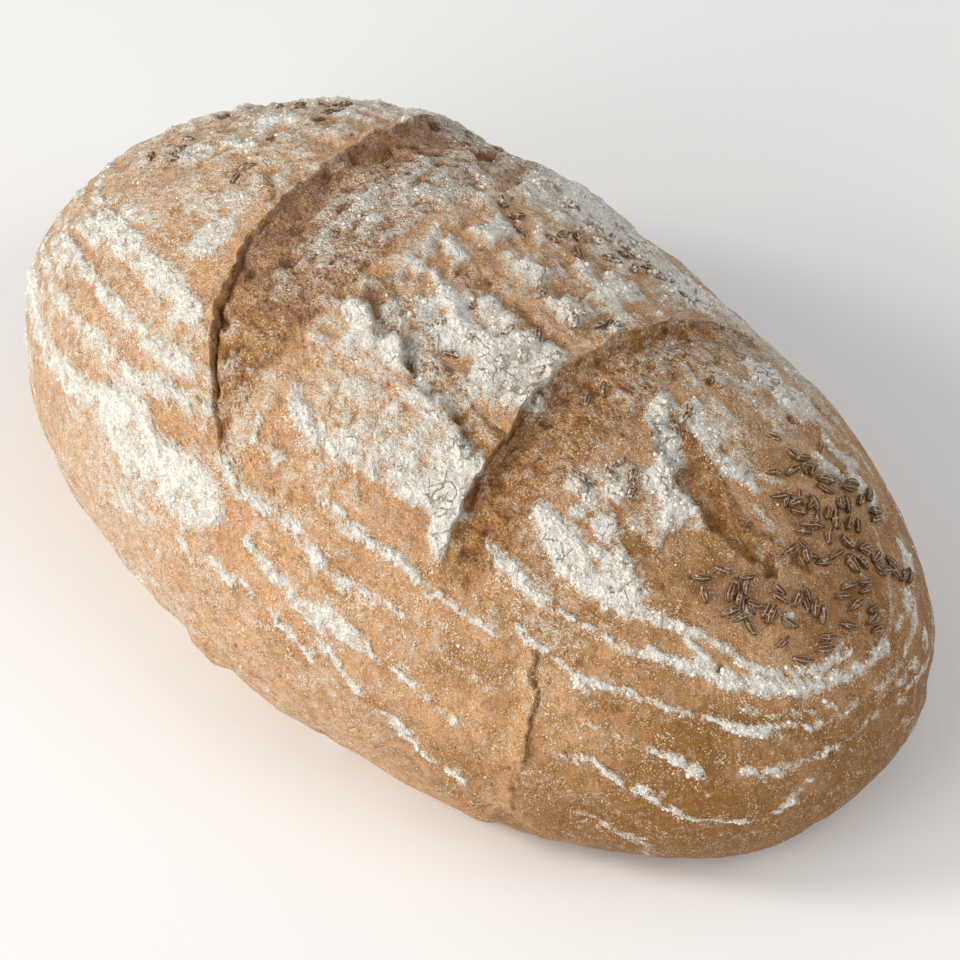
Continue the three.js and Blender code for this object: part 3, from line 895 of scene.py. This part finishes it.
# %% Crust recipe
# Patterns of noise: name, size in millimetres, how many finer sizes are added, and how strong they are.
CRUST_PATTERNS = [
    ("blotches", 13, 3, 0.5), ("middling", 4.5, 3, 0.5), ("fine", 1.4, 3, 0.5), ("lumps", 1.1, 2, 0.5),
    ("pores", 0.8, 1, 0.5), ("grit", 0.35, 1, 0.5), ("specks", 0.6, 1, 0.5), ("tints", 9, 2, 0.5),
    ("clods", 2.8, 4, 0.6), ("lumpy", 2.4, 1, 0.5),
]
GRAIN = 0.55  # mm, coarser than real flour so that it shows
BEND = 4.0  # mm, how far the edges of the dried flakes wander
FLAKE = 5.5  # mm
CRUST_RECIPE = [
    # Baked skin, straw to brown, with pinker and darker mottling.
    ("browned", ("ADD", ("ADD", "browning_and_shade", ("MULTIPLY_ADD", "blotches", 1.5, -0.75)),
                 ("MULTIPLY_ADD", "middling", 1.2, -0.6))),
    ("colour", ("MIX", ("FADE", "browned", -0.25, 1.05), "#d8a97a", "#926325")),
    ("pinker", ("MULTIPLY", ("FADE", "tints", 0.50, 0.64), ("FADE", "browning_and_shade", 0.45, 0.05))),
    ("colour", ("MIX", ("MULTIPLY", "pinker", 0.4), "colour", "#cfa084")),
    ("colour", ("MIX", ("MULTIPLY", ("FADE", "fine", 0.50, 0.66), 0.55), "colour", "#8f6033")),
    # Raw crust in the cuts, redder in the rear one.
    ("raw", ("MIX", "ruddy", ("MIX", ("FADE", "middling", 0.38, 0.62), "#a56b34", "#cf9a57"),
             ("MIX", ("FADE", "middling", 0.38, 0.62), "#ae806b", "#c6935f"))),
    ("raw", ("MIX", ("MULTIPLY", ("FADE", "fine", 0.50, 0.68), 0.5), "raw", "#86573c")),
    ("colour", ("MIX", ("MULTIPLY", "torn", 0.85), "colour", "raw")),
    ("colour", ("MIX", ("MULTIPLY", "flap", 0.6), "colour", "#d8a973")),
    # Painted shade darkens cracks, hollows and the low ground between lumps and between clods.
    ("dark", ("MULTIPLY", "painted_hollow_shade", ("MULTIPLY_ADD", ("FADE", "middling", 0.62, 0.40), 0.55, 0.4))),
    ("colour", ("MIX", "dark", "colour", "#4a2e17")),
    ("painted_lump_shade", ("MULTIPLY", ("FADE", "lumps", 0.50, 0.34), ("MULTIPLY_ADD", "torn", 0.35, 0.15))),
    ("colour", ("MIX", "painted_lump_shade", "colour", "#6b4020")),
    ("painted_clod_shade", ("MULTIPLY", ("FADE", "clods", 0.46, 0.34), ("MULTIPLY_ADD", "torn", 0.3, 0.35))),
    ("colour", ("MIX", "painted_clod_shade", "colour", "#74471f")),
    ("colour", ("MIX", ("MULTIPLY", ("FADE", "grit", 0.54, 0.40), 0.35), "colour", "#7d5228")),
    # Loose grains of flour, and small dark spots that are painted shade for pores.
    ("speckle", ("MULTIPLY_ADD", "middling", 0.35, ("MULTIPLY", "specks", 0.5))),
    ("speckle", ("MULTIPLY_ADD", "flour", 0.25, ("MULTIPLY_ADD", "grit", 0.7, "speckle"))),
    ("colour", ("MIX", ("MULTIPLY", ("FADE", "speckle", 0.90, 1.0), 0.8), "colour", "#f0dfc4")),
    ("colour", ("MIX", ("MULTIPLY", ("FADE", "pores", 0.64, 0.72), 0.6), "colour", "#5f3b1d")),
    # A thin film of flour, then the powder that covers the crust.
    ("spread", ("ADD", ("MULTIPLY_ADD", "fine", 0.7, -0.35), ("MULTIPLY_ADD", "clods", 1.5, -0.75))),
    ("film", ("FADE", ("ADD", "flour", "spread"), 0.15, 0.85)),
    ("colour", ("MIX", ("MULTIPLY", "film", 0.56), "colour", "#e6dacb")),
    ("cover", ("ADD", ("MULTIPLY", "flour", 0.90), ("MULTIPLY_ADD", "chance", 0.28, -0.14))),
    ("cover", ("ADD", "cover", ("MULTIPLY_ADD", "near", -0.5, 0.19))),
    ("cover", ("ADD", "cover", ("MULTIPLY_ADD", "grit", 0.6, -0.30))),
    ("cover", ("ADD", "cover", ("MULTIPLY", "spread", 0.75))),
    ("powder", ("FADE", "cover", 0.46, 0.55)),
    ("white", ("MIX", ("FADE", "flour", 0.35, 0.8), "#f0e4d0", "#ebe7dd")),
    ("colour", ("MIX", ("MULTIPLY", "powder", 0.95), "colour", "white")),
    # Where flour lay thick it dried and cracked into flakes.
    ("opened", ("MULTIPLY", ("FADE", "blotches", 0.48, 0.54), "dried")),
    ("fissure", ("MULTIPLY", ("FADE", "edge", 0.05, 0.012), "opened")),
    ("colour", ("MIX", ("MULTIPLY", "fissure", 0.6), "colour", "#8a6440")),
    # The height of all this, in millimetres, for the bump.
    ("height", ("ADD", ("MULTIPLY", "fine", 0.9), ("MULTIPLY", "grit", 0.2))),
    ("height", ("ADD", "height", ("MULTIPLY", ("FADE", "cover", 0.3, 0.8), 0.3))),
    ("height", ("ADD", "height", ("MULTIPLY", ("ADD", "flour", "torn"), ("MULTIPLY", "lumps", 0.9)))),
    ("height", ("ADD", "height", ("MULTIPLY", "powder", ("MULTIPLY", "near", -0.15)))),
    ("rise", ("MULTIPLY_ADD", ("MAXIMUM", "flour", "torn"), 1.3, 0.5)),
    ("height", ("ADD", "height", ("MULTIPLY", "lumpy", "rise"))),
    ("height", ("ADD", "height", ("MULTIPLY", ("MULTIPLY", "torn", "clods"), 1.9))),
    ("height", ("MULTIPLY_ADD", "fissure", -0.9, "height")),
    ("gloss", ("MULTIPLY_ADD", "powder", 0.35, 0.58)),
]

# %% Crust material
def crust_material():
    material, tree = new_material("baked_rye_crust")
    place = add_node(tree, "ShaderNodeTexCoord").outputs["Object"]
    made = {}
    for name in CRUST_VALUES:
        made[name] = add_node(tree, "ShaderNodeAttribute", {"attribute_name": name}).outputs["Fac"]
    for name, millimetres, detail, roughness in CRUST_PATTERNS:
        settings = {"Scale": 1 / (millimetres * MM), "Detail": detail, "Roughness": roughness}
        made[name] = add_node(tree, "ShaderNodeTexNoise", settings, {"Vector": place}).outputs["Fac"]
    grains = add_node(tree, "ShaderNodeTexVoronoi", {"Scale": 1 / (GRAIN * MM)}, {"Vector": place})
    lot = add_node(tree, "ShaderNodeSeparateColor", links={"Color": grains.outputs["Color"]})
    made["near"] = grains.outputs["Distance"]
    made["chance"] = lot.outputs["Red"]
    wander = add_node(tree, "ShaderNodeTexNoise", {"Scale": 1 / (BEND * MM), "Detail": 3.0},
                      {"Vector": place})
    bent = add_node(tree, "ShaderNodeVectorMath", {"operation": "MULTIPLY_ADD", 1: 3 * (BEND * MM,)},
                    {0: wander.outputs["Color"], 2: place})
    flake_size = {"feature": "DISTANCE_TO_EDGE", "Scale": 1 / (FLAKE * MM)}
    flakes = add_node(tree, "ShaderNodeTexVoronoi", flake_size, {"Vector": bent.outputs["Vector"]})
    made["edge"] = flakes.outputs["Distance"]
    follow_all(tree, CRUST_RECIPE, made)
    bump = add_node(tree, "ShaderNodeBump", {"Strength": 1.0, "Distance": MM}, {"Height": made["height"]})
    shader = add_node(tree, "ShaderNodeBsdfPrincipled", {"IOR": 1.45, "Specular IOR Level": 0.35},
                      {"Base Color": made["colour"], "Roughness": made["gloss"],
                       "Normal": bump.outputs["Normal"]})
    add_node(tree, "ShaderNodeOutputMaterial", links={"Surface": shader.outputs["BSDF"]})
    print(material.name, "-", len(tree.nodes), "nodes")
    return material


crust.data.materials.append(crust_material())

# %% [markdown]
# ## One caraway seed
# A caraway seed is a curved sliver, pointed at both ends, with five pale ribs along it and dark grooves
# between them. One seed is made here with few faces, because it is repeated.

# %% Seed mesh and material
SEED_LENGTH = 5.8
SEED_WIDTH = 2.5
SEED_STAND = 0.85  # from the crust to a loose seed's middle, so that its underside is just baked in
PAIRS = 14
LOOSE_DUST = 0.1
SEED_RECIPE = [
    ("groove", ("MIX", "shade", "#432814", "#6a4526")),
    ("coat", ("MIX", ("SPREAD", "rib", 0.6, 1.0), "groove", "#caa477")),
    ("dusted", ("SPREAD", ("MULTIPLY_ADD", "dust", 0.22, "mottle"), 0.58, 0.85)),
    ("colour", ("MIX", "dusted", "coat", "#e2dccf")),
]


def caraway_material():
    """Dry seed coat: dull, brown in the grooves, straw on the ribs, and dusted where it is buried."""
    material, tree = new_material("dry_caraway_coat")
    place = add_node(tree, "ShaderNodeTexCoord").outputs["Object"]
    mottle = add_node(tree, "ShaderNodeTexNoise", {"Scale": 1 / (0.9 * MM), "Detail": 2.0}, {"Vector": place})
    shade = add_node(tree, "ShaderNodeTexNoise", {"Scale": 1 / (9 * MM)}, {"Vector": place})
    made = {"mottle": mottle.outputs["Fac"], "shade": shade.outputs["Fac"]}
    for name in ("rib", "dust"):
        made[name] = add_node(tree, "ShaderNodeAttribute", {"attribute_name": name}).outputs["Fac"]
    follow_all(tree, SEED_RECIPE, made)
    bump = add_node(tree, "ShaderNodeBump", {"Strength": 0.5, "Distance": 0.15 * MM},
                    {"Height": made["mottle"]})
    shader = add_node(tree, "ShaderNodeBsdfPrincipled", {"Roughness": 0.55},
                      {"Base Color": made["colour"], "Normal": bump.outputs["Normal"]})
    add_node(tree, "ShaderNodeOutputMaterial", links={"Surface": shader.outputs["BSDF"]})
    return material


def make_seed():
    """A seed along Y with Z up, its ribs marked in an attribute."""
    bands, sides = 6, 12
    points, ribs, faces = [], [], []
    for i in range(1, bands):
        t = i / bands
        width = 0.5 * SEED_WIDTH * math.sin(math.pi * t) ** 0.75
        bend = 0.35 * (1 - (2 * t - 1) ** 2) - 0.2
        for k in range(sides):
            angle = 2 * math.pi * k / sides
            reach = width * (1.0 if k % 2 == 0 else 0.76)
            x, z = reach * math.cos(angle) + bend, 0.95 * reach * math.sin(angle)
            points.append((x, (t - 0.5) * SEED_LENGTH, z))
            ribs.append(1.0 - k % 2)
    for i in range(bands - 2):
        for k in range(sides):
            a, b = i * sides + k, i * sides + (k + 1) % sides
            faces.append((a, b, b + sides, a + sides))
    for y, t, start in ((-0.5, 0, 0), (0.5, 1, (bands - 2) * sides)):
        points.append((-0.2, y * SEED_LENGTH, 0))
        ribs.append(0.3)
        tip = len(points) - 1
        for k in range(sides):
            pair = (start + k, start + (k + 1) % sides)
            faces.append((tip, pair[1], pair[0]) if t == 0 else (tip, pair[0], pair[1]))
    mesh = bpy.data.meshes.new("caraway_seed")
    mesh.from_pydata([tuple(MM * c for c in p) for p in points], [], faces)
    mesh.polygons.foreach_set("use_smooth", [True] * len(faces))
    mesh.attributes.new("rib", "FLOAT", "POINT").data.foreach_set("value", ribs)
    return bpy.data.objects.new("caraway_seed", mesh)


# %% [markdown]
# ## Repeating the seeds with Geometry Nodes
# Copies could be made one by one, but one tree can put a copy of a shape on each point of a mesh, turned
# and sized by that point's attributes. It ends by making the copies real and giving them their material.
# Its result is kept as a plain mesh.

# %% Scatter tree
def scatter_tree(shape, material):
    tree = bpy.data.node_groups.new("scatter_" + shape.name, "GeometryNodeTree")
    tree.interface.new_socket("Geometry", in_out="INPUT", socket_type="NodeSocketGeometry")
    tree.interface.new_socket("Size", in_out="INPUT", socket_type="NodeSocketFloat")
    tree.interface.new_socket("Geometry", in_out="OUTPUT", socket_type="NodeSocketGeometry")
    given = add_node(tree, "NodeGroupInput")
    turn = add_node(tree, "GeometryNodeInputNamedAttribute", {"data_type": "QUATERNION", "Name": "turn"})
    size = add_node(tree, "GeometryNodeInputNamedAttribute", {"data_type": "FLOAT", "Name": "size"})
    scale = add_node(tree, "ShaderNodeMath", {"operation": "MULTIPLY"},
                     {0: given.outputs["Size"], 1: size.outputs[0]})
    source = add_node(tree, "GeometryNodeObjectInfo", {"Object": shape})
    copies = add_node(tree, "GeometryNodeInstanceOnPoints", links={
        "Points": given.outputs["Geometry"], "Instance": source.outputs["Geometry"],
        "Rotation": turn.outputs[0], "Scale": scale.outputs["Value"]})
    real = add_node(tree, "GeometryNodeRealizeInstances", links={"Geometry": copies.outputs["Instances"]})
    coated = add_node(tree, "GeometryNodeSetMaterial", {"Material": material},
                      {"Geometry": real.outputs["Geometry"]})
    add_node(tree, "NodeGroupOutput", links={"Geometry": coated.outputs["Geometry"]})
    return tree


def scatter(name, places, turned, sizes, dusts, shape, material, size=1.0):
    """A plain mesh with a copy of the shape at each place. Places are in mm and turns are quaternions."""
    points = bpy.data.meshes.new(name)
    points.from_pydata([tuple(p * MM) for p in places], [], [])
    turn = points.attributes.new("turn", "QUATERNION", "POINT")
    turn.data.foreach_set("value", np.array([list(q) for q in turned], np.float32).ravel())
    points.attributes.new("size", "FLOAT", "POINT").data.foreach_set("value", np.array(sizes, np.float32))
    points.attributes.new("dust", "FLOAT", "POINT").data.foreach_set("value", np.array(dusts, np.float32))
    carrier = bpy.data.objects.new(name, points)
    bpy.context.scene.collection.objects.link(carrier)
    tree = scatter_tree(shape, material)
    modifier = carrier.modifiers.new("scatter", "NODES")
    modifier.node_group = tree
    socket = next(s for s in tree.interface.items_tree if s.name == "Size")
    modifier[socket.identifier] = size
    ready = carrier.evaluated_get(bpy.context.evaluated_depsgraph_get())
    mesh = bpy.data.meshes.new_from_object(ready)
    mesh.name = name
    carrier.modifiers.clear()
    carrier.data = mesh
    print(name, "-", len(places), "copies,", len(mesh.polygons), "faces")
    return carrier


def turn_to(long_axis, out):
    """The turn that lays a shape's Y along long_axis with its Z pointing out."""
    y = Vector(long_axis).normalized()
    z = Vector(out)
    z = (z - z.dot(y) * y).normalized()
    return Matrix((y.cross(z), y, z)).transposed().to_quaternion()


# %% Caraway seeds
# More seeds lie half buried in the crust. Each group: middle, reach along and across, and how many.
BURIED = [
    (18, 46, 20, 6, 16), (4, 33, 10, 5, 5), (-5, 27, 3, 3, 2), (24, 12, 6, 4, 4), (20, -10, 14, 9, 10),
    (-16, 30, 3, 3, 2), (34, 20, 4, 5, 3), (-84, 28, 20, 9, 9), (-98, -6, 12, 6, 4), (-74, -8, 4, 4, 2),
    (66, 12, 6, 4, 3), (62, -20, 6, 5, 3), (70, -9, 5, 6, 4), (99, 20, 12, 10, 7), (112, 12, 12, 14, 9),
    (110, -14, 10, 7, 7), (88, 30, 8, 8, 5), (-45, 52, 6, 6, 3), (45, -2, 4, 8, 2),
]


def rest_on_crust(point, height):
    """The point moved in or out until it stands that high above the crust, and the way out there."""
    at = np.unravel_index(np.argmin(np.linalg.norm(surface - point, axis=-1)), X.shape)
    out = normal[at]
    return point + (height - (point - surface[at]) @ out) * out, out


def loose_seeds():
    """For each seed of the frame: its place on the crust, long axis, outward direction and dust."""
    found = []
    for middle, axis, _ in seeds:
        place, out = rest_on_crust(middle, SEED_STAND)
        found.append((place, axis, out, LOOSE_DUST))
    return found


def buried_seeds(draw):
    """The same four values for each half-buried seed."""
    found = []
    for x, y, reach_x, reach_y, count in BURIED:
        for _ in range(count):
            spot = (draw.normal(x, 0.5 * reach_x), draw.normal(y, 0.5 * reach_y))
            gap = (X - spot[0]) ** 2 + (Y - spot[1]) ** 2 + 1e6 * (upward < 0)
            at = np.unravel_index(np.argmin(gap), gap.shape)
            turn = draw.uniform(0, math.pi)
            sideways = np.cross(normal[at], (math.cos(turn), math.sin(turn), 0.0))
            place = surface[at] + draw.uniform(0.05, 0.45) * normal[at]
            found.append((place, sideways / np.linalg.norm(sideways), normal[at], flour[at]))
    return found


def seeds_beside(draw):
    """Some of the loose seeds lie in pairs. The second of each pair lies beside the first or leans on it."""
    found = []
    for index in draw.choice(len(seeds), PAIRS, replace=False):
        middle, axis, out = seeds[index]
        sideways = np.cross(out, axis) * draw.choice([-1, 1])
        beside = middle + draw.uniform(1.9, 2.5) * sideways + draw.uniform(-1.8, 1.8) * axis
        place, out = rest_on_crust(beside, SEED_STAND + draw.uniform(0, 0.5))
        found.append((place, axis + draw.normal(0, 0.22, 3), out, LOOSE_DUST))
    return found


seed_shape = make_seed()
caraway = caraway_material()
draw = np.random.default_rng(307)
laid = loose_seeds() + buried_seeds(draw) + seeds_beside(draw)
turned = [turn_to(axis * draw.choice([-1, 1]), out + draw.normal(0, 0.15, 3)) for _, axis, out, _ in laid]
sizes = draw.uniform(0.85, 1.08, len(laid))
caraway_seeds = scatter("caraway_seeds", [seed[0] for seed in laid], turned, sizes,
                        [seed[3] for seed in laid], seed_shape, caraway)

# %% [markdown]
# ## Crumbs of flour
# Where flour lies thick it gathers in crumbs. Each is a small rough ball, half sunk in the flour below.

# %% Flour crumbs
CRUMB_COUNT = 8000


def crumb_places(draw):
    """Points on the crust, more of them where there is more flour, and how much flour lies at each."""
    cell_area = np.prod([np.linalg.norm(np.gradient(form, axis=axis), axis=-1) for axis in (0, 1)], axis=0)
    weight = cell_area * (0.02 + ramp(0.35, 0.9, flour) * (1 + 1.5 * ramp(40, 90, X))) * (upward > -0.5)
    weight[:3] = 0
    weight[-3:] = 0
    chosen = draw.choice(weight.size, CRUMB_COUNT, p=(weight / weight.sum()).ravel())
    rows, columns = np.unravel_index(chosen, weight.shape)
    part = draw.uniform(0, 1, (CRUMB_COUNT, 2, 1))
    start, ahead = surface[rows, columns], surface[rows - 1, columns]
    aside = surface[rows, (columns + 1) % surface.shape[1]]
    return start + part[:, 0] * (ahead - start) + part[:, 1] * (aside - start), flour[rows, columns]


def make_crumb():
    shape = bmesh.new()
    bmesh.ops.create_icosphere(shape, subdivisions=1, radius=MM)
    draw = np.random.default_rng(17)
    for vertex in shape.verts:
        vertex.co *= draw.uniform(0.7, 1.15)
    mesh = bpy.data.meshes.new("flour_crumb")
    shape.to_mesh(mesh)
    shape.free()
    return bpy.data.objects.new("flour_crumb", mesh)


def flour_material():
    """Dry flour: white with a little cream, and fully rough."""
    material, tree = new_material("dry_flour")
    shader = add_node(tree, "ShaderNodeBsdfPrincipled", {"Base Color": linear("#ece7dc"), "Roughness": 0.95})
    add_node(tree, "ShaderNodeOutputMaterial", links={"Surface": shader.outputs["BSDF"]})
    return material


draw = np.random.default_rng(911)
turned = draw.normal(0, 1, (CRUMB_COUNT, 4))
turned /= np.linalg.norm(turned, axis=-1, keepdims=True)
places, thickness = crumb_places(draw)
sizes = np.clip((0.12 + 0.17 * thickness) * np.exp(draw.normal(0, 0.5, CRUMB_COUNT)), 0.1, 0.9)
flour_crumbs = scatter("flour_crumbs", places, turned, sizes, thickness, make_crumb(), flour_material())

# %% [markdown]
# ## Put it together
# Each piece is tied to the loaf's one body and stands for the solids that it replaces.

# %% Tie the pieces to the frame
seed_nodes = [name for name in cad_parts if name.startswith("caraway_seed")]
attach(crust, "root")
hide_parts("loaf")
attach(caraway_seeds, "root")
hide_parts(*seed_nodes)
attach(flour_crumbs, "root")
